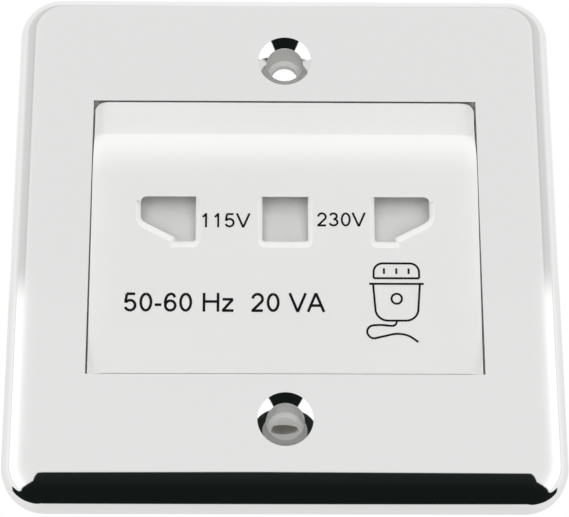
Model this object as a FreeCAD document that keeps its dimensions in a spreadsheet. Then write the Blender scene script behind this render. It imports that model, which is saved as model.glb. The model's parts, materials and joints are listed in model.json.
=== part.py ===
import FreeCAD, Part
import math
import os

import Sketcher

from FreeCAD import Vector

# One-gang shaver socket: a pressed chromed plate, a white socket face with three
# shuttered apertures, and an isolating transformer in a housing behind.
# Frame: X to the right, +Z up the wall, +Y into the wall. The origin is on the wall
# plane, midway between the two fixing holes. "Out" is the distance from the wall
# plane towards the room, so a point at out = 7 has y = -7.

doc = FreeCAD.newDocument("shaver_socket")
sheet = doc.addObject("Spreadsheet::Sheet", "Sizes")


class Size:
    """A length that keeps the sheet formula it comes from."""

    def __init__(self, value, formula):
        self.value = value
        self.formula = formula

    def __add__(self, other):
        other = as_size(other)
        return Size(self.value + other.value, f"({self.formula} + {other.formula})")

    def __sub__(self, other):
        other = as_size(other)
        return Size(self.value - other.value, f"({self.formula} - {other.formula})")

    def __mul__(self, factor):
        factor = as_size(factor)
        return Size(self.value * factor.value, f"({self.formula} * {factor.formula})")

    def __truediv__(self, divisor):
        divisor = as_size(divisor)
        return Size(self.value / divisor.value, f"({self.formula} / {divisor.formula})")

    def __neg__(self):
        return Size(-self.value, f"(0 - {self.formula})")


def as_size(number):
    return number if isinstance(number, Size) else Size(float(number), f"{number}")


ZERO = as_size(0)
row = 0


def size(alias, value, meaning):
    """Write one driving dimension in the sheet and return it."""
    global row
    row += 1
    sheet.set(f"A{row}", alias)
    sheet.set(f"B{row}", str(value))
    sheet.set(f"C{row}", meaning)
    sheet.setAlias(f"B{row}", alias)
    return Size(float(value), f"Sizes.{alias}")


# Driving dimensions, in millimetres

plate_width = size("plate_width", 86.0, "side of the square front plate")
plate_depth = size("plate_depth", 7.0, "wall plane to plate face")
plate_sheet = size("plate_sheet", 1.4, "thickness of the pressed sheet")
plate_edge = size("plate_edge", 5.2, "radius of the rounded front edge")
plate_corner = size("plate_corner", 6.8, "radius of the plate's corners in front view")
fix_sink = size("fix_sink", 8.5, "diameter of the countersink at the face")
fix_land = size("fix_land", 0.1, "straight land left under the countersink")
fix_hole = size("fix_hole", 4.2, "clearance hole for the fixing screw")
sleeve_wall = size("sleeve_wall", 1.6, "wall of the screw sleeve")
sleeve_floor = size("sleeve_floor", 1.2, "floor of the screw sleeve")

window_side = size("window_side", 12.6, "plate beside the window")
window_height = size("window_height", 46.0, "window in the plate, up")
fix_above = size("fix_above", 7.15, "fixing hole beyond the window's edge")
face_gap = size("face_gap", 0.3, "gap between window and socket face, top and sides")
face_gap_low = size("face_gap_low", 0.1, "gap between window and socket face, bottom")
frame_sheet = size("frame_sheet", 1.4, "thickness of the white liner")
frame_clear = size("frame_clear", 0.2, "clearance round the liner")
frame_rim = size("frame_rim", 1.6, "thickness of the liner's stiffening rim")
frame_rim_foot = size("frame_rim_foot", 0.6, "rim stops this far from the wall plane")
frame_corner = size("frame_corner", 3.0, "radius of the liner's corners")

stud_inset = size("stud_inset", 9.8, "studs inside the plate's side")
stud_up = size("stud_up", 16.0, "distance between the stud rows")
stud_d = size("stud_d", 3.0, "diameter of the welded studs")
stud_clear = size("stud_clear", 0.4, "clearance of a hole round a stud")
stud_tail = size("stud_tail", 0.3, "stud end to wall plane")
nut_flats = size("nut_flats", 5.5, "nut size across flats")
nut_height = size("nut_height", 1.9, "nut height")

flange_lap = size("flange_lap", 5.2, "flange of the socket face beside the window")
flange_over = size("flange_over", 1.8, "flange of the socket face above and below the window")
flange_sheet = size("flange_sheet", 1.8, "flange thickness")
face_corner = size("face_corner", 1.4, "radius of the face's upper corners")
ledge_height = size("ledge_height", 5.6, "flush ledge above the raised panel")
crest_rise = size("crest_rise", 2.3, "crest of the panel above the plate face")
ramp_run = size("ramp_run", 4.2, "run of the ramp from ledge to crest")
crest_round = size("crest_round", 11.0, "radius over the crest")
crease_round = size("crease_round", 1.0, "radius in the crease above the ramp")
roll_width = size("roll_width", 2.1, "roll-off along the sides of the face, across")
roll_drop = size("roll_drop", 0.45, "fall of that roll-off")

hole_up = size("hole_up", 1.95, "height of the apertures' centre line")
hole_height = size("hole_height", 7.1, "height of each aperture")
centre_width = size("centre_width", 7.1, "width of the centre aperture")
side_width = size("side_width", 8.6, "width of each side aperture")
side_share = size("side_share", 0.7, "distance between the side apertures, as a share of the cavity's width")
side_wall = size("side_wall", 3.6, "straight outer wall of a side aperture")
side_foot = size("side_foot", 3.2, "flat foot of a side aperture")
foot_step = size("foot_step", 0.7, "step from the slanted edge to the foot")
hole_round = size("hole_round", 0.6, "radius of the apertures' corners")
shoulder_round = size("shoulder_round", 1.6, "radius where a side aperture's outer wall meets its slant")
hole_chamfer = size("hole_chamfer", 0.6, "chamfer round each aperture")
relief_depth = size("relief_depth", 2.3, "relief behind an aperture's top edge, front to back")
relief_rise = size("relief_rise", 1.2, "rise of that relief")

cavity_side = size("cavity_side", 4.1, "face beside the shutter cavity")
cavity_wall = size("cavity_wall", 2.0, "face wall under the cavity")
cavity_head = size("cavity_head", 0.1, "cavity top below the foot of the face's ramp")
cavity_floor_out = size("cavity_floor_out", 5.6, "front wall of the cavity, from the wall plane")
slide_clear = size("slide_clear", 0.3, "clearance round the shutter")
shutter_thick = size("shutter_thick", 2.6, "thickness of the shutter")
shutter_skirt = size("shutter_skirt", 5.4, "shutter below the apertures")
shutter_head = size("shutter_head", 1.2, "bar above the shutter's windows")
ramp_lap = size("ramp_lap", 0.4, "ramp wider than its aperture, each side")
ramp_depth = size("ramp_depth", 2.1, "depth of the ramp at its top")
ramp_over = size("ramp_over", 2.6, "ramp above the aperture's top")
peg_d = size("peg_d", 1.4, "peg that centres the spring")
peg_long = size("peg_long", 2.0, "length of that peg")
spring_r = size("spring_r", 1.05, "mean radius of the spring")
spring_wire = size("spring_wire", 0.4, "wire of the spring")
spring_turns = size("spring_turns", 6.0, "turns of the spring")

carrier_lap = size("carrier_lap", 1.0, "carrier wider than the cavity, each side")
carrier_sheet = size("carrier_sheet", 2.0, "carrier plate thickness")
chamber_wall = size("chamber_wall", 1.2, "wall of a pin chamber")
chamber_clear = size("chamber_clear", 0.7, "chamber larger than its aperture, each side")
chamber_depth = size("chamber_depth", 11.6, "depth of a pin chamber behind the carrier plate")
contact_strip = size("contact_strip", 0.5, "contact strip thickness")
contact_width = size("contact_width", 6.0, "contact strip width")
contact_mouth = size("contact_mouth", 1.6, "contact mouth behind the carrier's front")
contact_pinch = size("contact_pinch", 2.6, "gap between the leaves at the pinch")
contact_pinch_in = size("contact_pinch_in", 3.4, "pinch behind the mouth")
tail_width = size("tail_width", 2.4, "contact tail width")
tail_long = size("tail_long", 1.4, "contact tail behind the chamber")
carrier_screw_d = size("carrier_screw_d", 2.2, "carrier screw")
carrier_screw_long = size("carrier_screw_long", 3.0, "carrier screw in the face")
carrier_screw_up = size("carrier_screw_up", 2.9, "carrier screws above the cavity")
carrier_screw_inset = size("carrier_screw_inset", 4.0, "carrier screws inside the cavity's side")
carrier_head = size("carrier_head", 5.2, "carrier plate above the cavity")
thread_clear = size("thread_clear", 0.2, "screw bore larger than its screw")
tail_clear = size("tail_clear", 0.2, "slot larger than the contact tail")
screw_head = size("screw_head", 1.9, "screw head, as a multiple of its diameter")
screw_head_high = size("screw_head_high", 1.2, "height of a screw head")

house_lap = size("house_lap", 4.0, "rear housing beside the cavity")
house_over = size("house_over", 1.4, "rear housing above and below the window")
house_wall = size("house_wall", 1.8, "rear housing wall")
house_back = size("house_back", 37.0, "rear housing behind the wall plane")
shelf_back = size("shelf_back", 22.0, "terminal shelf behind the wall plane")
shelf_height = size("shelf_height", 11.8, "terminal shelf, up")
house_round = size("house_round", 1.5, "radius of the housing's long edges")
vent_count = 5
vent_width = size("vent_width", 1.6, "vent slot width")
vent_height = size("vent_height", 20.0, "vent slot height")
vent_pitch = size("vent_pitch", 7.0, "distance between vents")
ear_screw_d = size("ear_screw_d", 2.4, "housing screw")
ear_screw_up = size("ear_screw_up", 42.0, "distance between the housing screws, up")
ear_reach = size("ear_reach", 2.1, "screw centre outside the housing wall")
ear_r = size("ear_r", 2.1, "radius of an ear and its post")
ear_sheet = size("ear_sheet", 2.0, "ear thickness")
post_long = size("post_long", 4.0, "screw post behind the flange")

core_width = size("core_width", 38.4, "transformer core, across")
core_stack = size("core_stack", 13.0, "lamination stack")
core_leg = size("core_leg", 6.4, "outer leg and yoke")
core_clear = size("core_clear", 0.4, "core above the housing's lower wall")
core_head_gap = size("core_head_gap", 0.3, "core frame to the housing's upper wall")
pillar_d = size("pillar_d", 3.0, "pillar of the carrier that holds the core from the front")
pillar_gap = size("pillar_gap", 0.2, "pillar to the core")
core_back_gap = size("core_back_gap", 4.6, "stack to the housing's rear wall")
core_post_d = size("core_post_d", 5.0, "post that carries the core")
frame_strip = size("frame_strip", 0.7, "steel frame round the core")
bobbin_wall = size("bobbin_wall", 0.9, "bobbin wall")
bobbin_clear = size("bobbin_clear", 0.2, "bobbin to core")
bobbin_over = size("bobbin_over", 3.9, "bobbin flange beyond the stack")
coil_inset = size("coil_inset", 0.5, "winding below the flange's edge")
coil_corner = size("coil_corner", 2.0, "radius of the winding's corners")
cutout_thick = size("cutout_thick", 3.6, "thermal cut-out thickness")
cutout_height = size("cutout_height", 12.0, "thermal cut-out height")
cutout_depth = size("cutout_depth", 6.0, "thermal cut-out depth")

terminal_pitch = size("terminal_pitch", 17.0, "distance between terminals")
terminal_width = size("terminal_width", 8.0, "terminal block, across")
terminal_height = size("terminal_height", 8.6, "terminal block, up")
terminal_depth = size("terminal_depth", 8.0, "terminal block, front to back")
wire_bore = size("wire_bore", 3.4, "wire hole in a terminal")
wire_entry = size("wire_entry", 5.0, "wire entry in the housing")
clamp_d = size("clamp_d", 3.0, "terminal screw")
clamp_head_d = size("clamp_head_d", 4.4, "terminal screw head")
clamp_port = size("clamp_port", 5.2, "port for the screwdriver")
strap_thick = size("strap_thick", 0.5, "earth strap thickness")
strap_width = size("strap_width", 5.0, "earth strap width")
strap_lift = size("strap_lift", 0.6, "strap above the terminal's top")
strap_gap = size("strap_gap", 0.3, "strap to the carrier beside it")
clamp_reach = size("clamp_reach", 2.2, "terminal screw inside its block")
lead_bend = size("lead_bend", 1.1, "bend radius of a lead")
lead_above = size("lead_above", 5.0, "leads above the terminals before they turn")
lead_spread = size("lead_spread", 9.0, "leads meet the coil this far from the middle")
lead_inset = size("lead_inset", 2.0, "neutral lead inside the terminal's middle")
lead_d = size("lead_d", 1.4, "insulated lead diameter")
lead_sides = 8
nut_tip = size("nut_tip", 0.57735, "half a hexagon's corner width, as a share of its flats")
slot_wide = size("slot_wide", 0.5, "screwdriver slot width, as a share of the head's height")
slot_deep = size("slot_deep", 0.45, "screwdriver slot depth, as a share of the head's height")
bore_deep = size("bore_deep", 0.8, "wire hole, as a share of the terminal's height")
slim_head = size("slim_head", 1.7, "heads that clear the housing wall, as a multiple of the screw")
doc.recompute()


# Sketch and feature helpers

def new_body(label):
    body = doc.addObject("PartDesign::Body", label)
    body.Label = label
    return body


def sketch_on(body, name, role, offset):
    """Sketch on an origin plane, moved along the plane's normal by a size."""
    sketch = body.newObject("Sketcher::SketchObject", f"{body.Name}_{name}")
    plane = next(f for f in body.Origin.OriginFeatures if f.Role == role)
    sketch.AttachmentSupport = [(plane, "")]
    sketch.MapMode = "FlatFace"
    sketch.setExpression("AttachmentOffset.Base.z", as_size(offset).formula)
    return sketch


def front_sketch(body, name, out):
    """Sketch facing the room, at a distance out from the wall plane: axes X and Z."""
    return sketch_on(body, name, "XZ_Plane", out)


def side_sketch(body, name, across):
    """Sketch seen from the right, at a distance across from the middle: axes Y and Z."""
    return sketch_on(body, name, "YZ_Plane", across)


def floor_sketch(body, name, up):
    """Sketch seen from above, at a height up: axes X and Y."""
    return sketch_on(body, name, "XY_Plane", up)


def fix_point(sketch, line, end, point):
    for kind, value in zip(("DistanceX", "DistanceY"), point):
        value = as_size(value)
        index = sketch.addConstraint(Sketcher.Constraint(kind, -1, 1, line, end, value.value))
        sketch.setExpression(f"Constraints[{index}]", value.formula)


def polygon(sketch, points):
    points = [(as_size(a), as_size(b)) for a, b in points]
    places = [Vector(a.value, b.value, 0) for a, b in points]
    lines = [
        sketch.addGeometry(Part.LineSegment(start, end), False)
        for start, end in zip(places, places[1:] + places[:1])
    ]
    for line, following in zip(lines, lines[1:] + lines[:1]):
        sketch.addConstraint(Sketcher.Constraint("Coincident", line, 2, following, 1))
    for line, point in zip(lines, points):
        fix_point(sketch, line, 1, point)


def rectangle(sketch, left, low, right, high):
    polygon(sketch, [(left, low), (right, low), (right, high), (left, high)])


def centred(sketch, width, height, across=ZERO, up=ZERO):
    rectangle(sketch, across - width / 2, up - height / 2, across + width / 2, up + height / 2)


def circle(sketch, across, up, diameter):
    across, up, diameter = as_size(across), as_size(up), as_size(diameter)
    shape = Part.Circle(Vector(across.value, up.value, 0), Vector(0, 0, 1), diameter.value / 2)
    index = sketch.addGeometry(shape, False)
    fix_point(sketch, index, 3, (across, up))
    limit = sketch.addConstraint(Sketcher.Constraint("Diameter", index, diameter.value))
    sketch.setExpression(f"Constraints[{limit}]", diameter.formula)


def feature(body, kind, sketch, length, back, midplane):
    made = body.newObject(f"PartDesign::{kind}", f"{sketch.Name}_{kind}")
    made.Profile = sketch
    made.setExpression("Length", length.formula)
    made.Reversed = back
    made.Midplane = midplane
    doc.recompute()
    if "Invalid" in made.State:
        raise RuntimeError(f"{made.Name} could not be made")
    return made


def pad(body, sketch, length, back=False, midplane=False):
    return feature(body, "Pad", sketch, length, back, midplane)


def pocket(body, sketch, length, back=False, midplane=False):
    before = body.Shape.Volume
    made = feature(body, "Pocket", sketch, length, back, midplane)
    if body.Shape.Volume >= before:
        raise RuntimeError(f"{made.Name} removed nothing")
    return made


def dress(body, kind, name, amount, wanted):
    """Fillet or chamfer the edges of the body that the test wanted picks."""
    base = body.Tip
    names = [f"Edge{i + 1}" for i, edge in enumerate(base.Shape.Edges) if wanted(edge)]
    if not names:
        raise RuntimeError(f"{body.Label} has no edge for {name}")
    made = body.newObject(f"PartDesign::{kind}", f"{body.Name}_{name}")
    made.Base = (base, names)
    made.setExpression("Radius" if kind == "Fillet" else "Size", amount.formula)
    doc.recompute()
    if made.Shape.isNull() or not made.Shape.isValid():
        raise RuntimeError(f"{made.Name} could not be made")
    return made


def bevel(body, name, across, down, start, wanted):
    """Uneven chamfer that starts at one place across the front and falls little down the side."""
    base = body.Tip
    names = [f"Edge{i + 1}" for i, edge in enumerate(base.Shape.Edges) if wanted(edge)]
    made = body.newObject("PartDesign::Chamfer", f"{body.Name}_{name}")
    made.Base = (base, names)
    made.ChamferType = "Two distances"
    made.setExpression("Size", across.formula)
    made.setExpression("Size2", down.formula)
    for flip in (False, True):
        made.FlipDirection = flip
        doc.recompute()
        if made.Shape.isValid() and any(near(corner.X, start) for corner in made.Shape.Vertexes):
            return made
    raise RuntimeError(f"{made.Name} could not be made")


def shell_from(body, wall, open_face):
    """Hollow the body to a wall of even thickness, open at the faces that the test picks."""
    base = body.Tip
    names = [f"Face{i + 1}" for i, face in enumerate(base.Shape.Faces) if open_face(face)]
    made = body.newObject("PartDesign::Thickness", f"{body.Name}_shell")
    made.Base = (base, names)
    made.setExpression("Value", wall.formula)
    made.Reversed = True
    doc.recompute()
    if body.Shape.Volume >= base.Shape.Volume:
        raise RuntimeError(f"{body.Label} was not hollowed")
    return made


NEAR = 1e-4


def near(a, b):
    return abs(a - as_size(b).value) < NEAR


def spans(edge, axis):
    """Extent of an edge along one axis, as a low and a high value."""
    box = edge.BoundBox
    return {"x": (box.XMin, box.XMax), "y": (box.YMin, box.YMax), "z": (box.ZMin, box.ZMax)}[axis]


def flat_at(edge, axis, place):
    low, high = spans(edge, axis)
    return near(low, place) and near(high, place)


def runs_along(edge, axis):
    low, high = spans(edge, axis)
    others = [spans(edge, a) for a in "xyz" if a != axis]
    return high - low > NEAR and all(b - a < NEAR for a, b in others)


def quarter(width, height):
    """The four corners of a centred rectangle."""
    return [(i * width / 2, j * height / 2) for i, j in ((P, P), (N, P), (N, N), (P, N))]


P, N = as_size(1), as_size(-1)
window_width = plate_width - window_side * 2
stud_across = plate_width - stud_inset * 2
fix_up = window_height / 2 + fix_above
FIXINGS = [(ZERO, fix_up), (ZERO, -fix_up)]
STUDS = quarter(stud_across, stud_up)

# Places shared by several pieces

plate_inside = plate_depth - plate_sheet
frame_back = plate_inside - frame_sheet
flange_back = frame_back - flange_sheet
sleeve_bore = fix_sink - (plate_sheet - fix_land) * 2
face_width = window_width - face_gap * 2
face_top = window_height / 2 - face_gap
face_low = face_gap_low - window_height / 2
flange_width = window_width + flange_lap * 2
flange_height = window_height + flange_over * 2
cavity_width = face_width - cavity_side * 2
side_pitch = cavity_width * side_share
ledge_foot = face_top - ledge_height
crest_up = ledge_foot - ramp_run
hole_low = hole_up - hole_height / 2
hole_high = hole_up + hole_height / 2
cavity_top = ledge_foot - cavity_head
cavity_low = face_low + cavity_wall
shutter_front = cavity_floor_out - slide_clear
shutter_back = shutter_front - shutter_thick
shutter_low = hole_low - shutter_skirt
window_low = hole_high + ramp_over
shutter_top = cavity_top - slide_clear
window_high = shutter_top - shutter_head
carrier_front = flange_back
carrier_back = carrier_front - carrier_sheet
chamber_back = carrier_back - chamber_depth
chamber_floor = chamber_back + chamber_wall
house_width = cavity_width + house_lap * 2
house_height = window_height + house_over * 2
house_inside = -house_back + house_wall
house_low = -house_height / 2
shelf_top = house_low + shelf_height
core_rear = house_inside + core_back_gap
core_front = core_rear + core_stack
core_middle = core_rear + core_stack / 2
core_low = shelf_top + house_wall + core_clear
core_high = house_height / 2 - house_wall - core_head_gap - frame_strip
window_foot = core_low + core_leg
window_roof = core_high - core_leg
bobbin_half = core_stack / 2 + bobbin_over
bobbin_side = core_width / 2 - core_leg - bobbin_clear
leg_half = core_leg
tube_half = leg_half + bobbin_clear + bobbin_wall
tube_half_deep = core_stack / 2 + bobbin_clear + bobbin_wall
coil_side = bobbin_side - coil_inset
coil_deep = bobbin_half - coil_inset
coil_split = (window_foot + window_roof) / 2
EARS = quarter(house_width + ear_reach * 2, ear_screw_up)
carrier_screw_x = cavity_width / 2 - carrier_screw_inset
CARRIER_SCREWS = [(i * carrier_screw_x, cavity_top + carrier_screw_up) for i in (P, N)]
TERMINALS = {
    "terminal_neutral": -terminal_pitch,
    "terminal_live": ZERO,
    "terminal_earth": terminal_pitch,
}
CONTACTS = {"contact_115v": -side_pitch / 2, "contact_common": ZERO, "contact_230v": side_pitch / 2}
hole_widths = {"contact_115v": side_width, "contact_common": centre_width, "contact_230v": side_width}


# Front plate: a pressed shell with a window, two countersunk holes and four studs

def make_front_plate():
    body = new_body("front_plate")
    outline = front_sketch(body, "outline", ZERO)
    centred(outline, plate_width, plate_width)
    pad(body, outline, plate_depth)
    dress(body, "Fillet", "corners", plate_corner, lambda e: runs_along(e, "y"))
    dress(body, "Fillet", "edge", plate_edge, lambda e: flat_at(e, "y", -plate_depth))
    shell_from(body, plate_sheet, lambda f: near(f.BoundBox.YMin, ZERO))
    window = front_sketch(body, "window", plate_depth)
    centred(window, window_width, window_height)
    pocket(body, window, plate_sheet)
    holes = front_sketch(body, "fixings", plate_depth)
    for across, up in FIXINGS:
        circle(holes, across, up, sleeve_bore)
    pocket(body, holes, plate_sheet)

    def fixing_rim(edge):
        low, high = spans(edge, "x")
        return flat_at(edge, "y", -plate_depth) and near(high - low, sleeve_bore)

    dress(body, "Chamfer", "sinks", plate_sheet - fix_land, fixing_rim)
    studs = front_sketch(body, "studs", plate_inside)
    for across, up in STUDS:
        circle(studs, across, up, stud_d)
    pad(body, studs, plate_inside - stud_tail, back=True)
    return body


# Liner: an insulating sheet behind the plate, with screw sleeves and a stiffening rim

def make_plate_frame():
    body = new_body("plate_frame")
    side = plate_width - plate_edge * 2 - frame_clear * 2
    outline = front_sketch(body, "outline", plate_inside)
    centred(outline, side, side)
    pad(body, outline, plate_inside - frame_rim_foot, back=True)
    dress(body, "Fillet", "corners", frame_corner, lambda e: runs_along(e, "y"))
    tray = front_sketch(body, "tray", frame_rim_foot)
    centred(tray, side - frame_rim * 2, side - frame_rim * 2)
    pocket(body, tray, frame_back - frame_rim_foot, back=True)
    sleeves = front_sketch(body, "sleeves", frame_back)
    for across, up in FIXINGS:
        circle(sleeves, across, up, sleeve_bore + sleeve_wall * 2)
    pad(body, sleeves, frame_back, back=True)
    bores = front_sketch(body, "bores", plate_inside)
    for across, up in FIXINGS:
        circle(bores, across, up, sleeve_bore)
    pocket(body, bores, plate_inside - sleeve_floor)
    holes = front_sketch(body, "holes", sleeve_floor)
    for across, up in FIXINGS:
        circle(holes, across, up, fix_hole)
    pocket(body, holes, sleeve_floor)
    openings = front_sketch(body, "openings", plate_inside)
    centred(openings, window_width, window_height)
    for across, up in STUDS:
        circle(openings, across, up, stud_d + stud_clear)
    pocket(body, openings, frame_sheet)
    return body


# Nuts: four hexagons threaded on the studs, against the flange of the socket face

def make_plate_nuts():
    body = new_body("plate_nuts")
    sketch = front_sketch(body, "hexagons", flange_back)
    for across, up in STUDS:
        circle(sketch, across, up, stud_d)
        half = nut_flats / 2
        tip = nut_flats * nut_tip
        side = tip / 2
        corners = [(half, side), (ZERO, tip), (-half, side), (-half, -side), (ZERO, -tip), (half, -side)]
        polygon(sketch, [(across + a, up + b) for a, b in corners])
    pad(body, sketch, nut_height, back=True)
    return body


# Socket face: a wedge that rises from a flush ledge and slopes back to the plate

def make_socket_face():
    body = new_body("socket_face")
    profile = side_sketch(body, "profile", ZERO)
    outline = [
        (flange_back, face_low),
        (plate_depth, face_low),
        (plate_depth + crest_rise, crest_up),
        (plate_depth, ledge_foot),
        (plate_depth, face_top),
        (flange_back, face_top),
    ]
    polygon(profile, [(-out, up) for out, up in outline])
    pad(body, profile, face_width, midplane=True)

    def along_at(out, up):
        return lambda e: runs_along(e, "x") and flat_at(e, "y", -out) and flat_at(e, "z", up)

    dress(body, "Fillet", "crest", crest_round, along_at(plate_depth + crest_rise, crest_up))
    dress(body, "Fillet", "crease", crease_round, along_at(plate_depth, ledge_foot))

    def front_edge_at(across):
        def on_line(edge):
            box = edge.BoundBox
            on_side = near(box.Center.x, across) and box.XLength < NEAR
            return on_side and box.YMax < NEAR - plate_depth.value and box.ZLength > NEAR
        return on_line

    half = face_width / 2
    bevel(body, "left_roll", roll_width, roll_drop, roll_width - half, front_edge_at(-half))
    bevel(body, "right_roll", roll_width, roll_drop, half - roll_width, front_edge_at(half))

    def upper_corner(edge):
        return runs_along(edge, "y") and flat_at(edge, "z", face_top)

    dress(body, "Fillet", "upper_corners", face_corner, upper_corner)
    flange = front_sketch(body, "flange", frame_back)
    centred(flange, flange_width, flange_height)
    pad(body, flange, flange_sheet, back=True)
    posts = front_sketch(body, "posts", flange_back)
    for across, up in EARS:
        circle(posts, across, up, ear_r * 2)
    pad(body, posts, post_long, back=True)
    cavity = front_sketch(body, "cavity", flange_back)
    rectangle(cavity, -cavity_width / 2, cavity_low, cavity_width / 2, cavity_top)
    pocket(body, cavity, cavity_floor_out - flange_back, back=True)
    holes = front_sketch(body, "stud_holes", frame_back)
    for across, up in STUDS:
        circle(holes, across, up, stud_d + stud_clear)
    pocket(body, holes, flange_sheet)
    recess = front_sketch(body, "strap_recess", flange_back)
    polygon(recess, strap_outline())
    pocket(body, recess, strap_thick, back=True)
    threads = front_sketch(body, "post_bores", flange_back - post_long)
    for across, up in EARS:
        circle(threads, across, up, ear_screw_d + thread_clear)
    pocket(body, threads, post_long, back=True)
    pilots = front_sketch(body, "pilots", flange_back)
    for across, up in CARRIER_SCREWS:
        circle(pilots, across, up, carrier_screw_d + thread_clear)
    pocket(body, pilots, carrier_screw_long + thread_clear, back=True)
    cut_apertures(body)
    return body


def side_aperture(side):
    """Outline of a side aperture: flat top, slanted lower outer edge and a small foot."""
    inner = side * (side_pitch - side_width) / 2
    outer = side * (side_pitch + side_width) / 2
    foot = inner + side * side_foot
    return [
        (inner, hole_high),
        (outer, hole_high),
        (outer, hole_high - side_wall),
        (foot, hole_low + foot_step),
        (foot, hole_low),
        (inner, hole_low),
    ]


def cut_apertures(body):
    front = plate_depth + crest_rise
    sketch = front_sketch(body, "apertures", front)
    centred(sketch, centre_width, hole_height, ZERO, hole_up)
    for side in (P, N):
        polygon(sketch, side_aperture(side))
    pocket(body, sketch, front - cavity_floor_out)
    feet = (side_pitch.value - side_width.value) / 2 + side_foot.value
    shoulder_across = (side_pitch.value + side_width.value) / 2
    shoulder_up = hole_high.value - side_wall.value

    def inside_hole(edge):
        box = edge.BoundBox
        reach = (side_pitch.value + side_width.value) / 2 + NEAR
        low, high = hole_low.value - NEAR, hole_high.value + NEAR
        return abs(box.XMin) < reach and abs(box.XMax) < reach and box.ZMin > low and box.ZMax < high

    def shoulder(edge):
        box = edge.BoundBox
        return runs_along(edge, "y") and near(abs(box.XMin), shoulder_across) and near(box.ZMin, shoulder_up)

    def aperture_corner(edge):
        at_foot = near(abs(edge.BoundBox.XMin), feet)
        return runs_along(edge, "y") and inside_hole(edge) and not at_foot and not shoulder(edge)

    dress(body, "Fillet", "aperture_corners", hole_round, aperture_corner)
    dress(body, "Fillet", "aperture_shoulders", shoulder_round, shoulder)

    def front_rim(edge):
        return inside_hole(edge) and edge.BoundBox.YMax < -plate_depth.value and not runs_along(edge, "y")

    dress(body, "Chamfer", "aperture_rims", hole_chamfer, front_rim)
    for name, across in CONTACTS.items():
        relief = side_sketch(body, f"relief_{name}", across)
        wedge = [
            (cavity_floor_out, hole_high),
            (cavity_floor_out + relief_depth, hole_high),
            (cavity_floor_out, hole_high + relief_rise),
        ]
        polygon(relief, [(-out, up) for out, up in wedge])
        pocket(body, relief, hole_widths[name] - hole_round * 2, midplane=True)


# Shutter: a sliding plate with a ramp behind each aperture and a window above each ramp

def make_shutter():
    body = new_body("shutter")
    half = cavity_width / 2 - slide_clear
    plate = front_sketch(body, "plate", shutter_back)
    rectangle(plate, -half, shutter_low, half, shutter_top)
    pad(body, plate, shutter_thick)
    windows = front_sketch(body, "windows", shutter_front)
    for name, across in CONTACTS.items():
        reach = hole_widths[name] / 2 + ramp_lap
        rectangle(windows, across - reach, window_low, across + reach, window_high)
    pocket(body, windows, shutter_thick)
    for name, across in CONTACTS.items():
        ramp = side_sketch(body, f"ramp_{name}", across)
        wedge = [
            (shutter_front, hole_low - slide_clear),
            (shutter_front, window_low),
            (shutter_front - ramp_depth, window_low),
        ]
        polygon(ramp, [(-out, up) for out, up in wedge])
        pocket(body, ramp, hole_widths[name] + ramp_lap * 2, midplane=True)
    peg = floor_sketch(body, "peg", shutter_low)
    circle(peg, ZERO, -spring_out, peg_d)
    pad(body, peg, peg_long, back=True)
    return body


spring_out = shutter_back + shutter_thick / 2


# Return spring: a helix under the shutter, resting on the cavity's lower wall

def make_shutter_spring():
    path = doc.addObject("Part::Helix", "spring_path")
    length = shutter_low - cavity_low - spring_wire
    path.setExpression("Radius", spring_r.formula)
    path.setExpression("Height", length.formula)
    path.setExpression("Pitch", (length / spring_turns).formula)
    path.setExpression("Placement.Base.y", (-spring_out).formula)
    path.setExpression("Placement.Base.z", (cavity_low + spring_wire / 2).formula)
    section = doc.addObject("Part::Plane", "spring_section")
    for side in ("Length", "Width"):
        section.setExpression(side, spring_wire.formula)
    section.Placement = FreeCAD.Placement(Vector(), FreeCAD.Rotation(Vector(1, 0, 0), 90))
    section.setExpression("Placement.Base.x", (spring_r - spring_wire / 2).formula)
    section.setExpression("Placement.Base.y", (-spring_out).formula)
    section.setExpression("Placement.Base.z", cavity_low.formula)
    coil = doc.addObject("Part::Sweep", "shutter_spring")
    coil.Label = "shutter_spring"
    coil.Sections = [section]
    coil.Spine = (path, ["Edge1"])
    coil.Solid = True
    coil.Frenet = True
    doc.recompute()
    return coil


# Carrier: closes the cavity from behind and holds a contact in each pin chamber

def make_contact_carrier():
    body = new_body("contact_carrier")
    half = cavity_width / 2 + carrier_lap
    plate = front_sketch(body, "plate", carrier_front)
    rectangle(plate, -half, cavity_low - carrier_lap, half, cavity_top + carrier_head)
    pad(body, plate, carrier_sheet, back=True)
    inner_high = hole_height + chamber_clear * 2
    boxes = front_sketch(body, "chambers", carrier_back)
    for name, across in CONTACTS.items():
        width = hole_widths[name] + (chamber_clear + chamber_wall) * 2
        centred(boxes, width, inner_high + chamber_wall * 2, across, hole_up)
    pad(body, boxes, chamber_depth, back=True)
    pillars = front_sketch(body, "pillars", carrier_back)
    for side in (P, N):
        circle(pillars, side * (core_width - core_leg) / 2, window_roof - pillar_d / 2, pillar_d)
    pad(body, pillars, carrier_back - core_front - pillar_gap, back=True)
    wells = front_sketch(body, "wells", carrier_front)
    for name, across in CONTACTS.items():
        centred(wells, hole_widths[name] + chamber_clear * 2, inner_high, across, hole_up)
    pocket(body, wells, carrier_front - chamber_floor)
    slots = front_sketch(body, "slots", chamber_floor)
    for across in CONTACTS.values():
        centred(slots, tail_width + tail_clear, contact_strip + tail_clear, across, hole_up)
    pocket(body, slots, chamber_wall)
    holes = front_sketch(body, "screw_holes", carrier_front)
    for across, up in CARRIER_SCREWS:
        circle(holes, across, up, carrier_screw_d + thread_clear)
    pocket(body, holes, carrier_sheet)
    return body


# Contacts: folded strips whose two leaves pinch a pin, with a tail through the chamber floor

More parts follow.
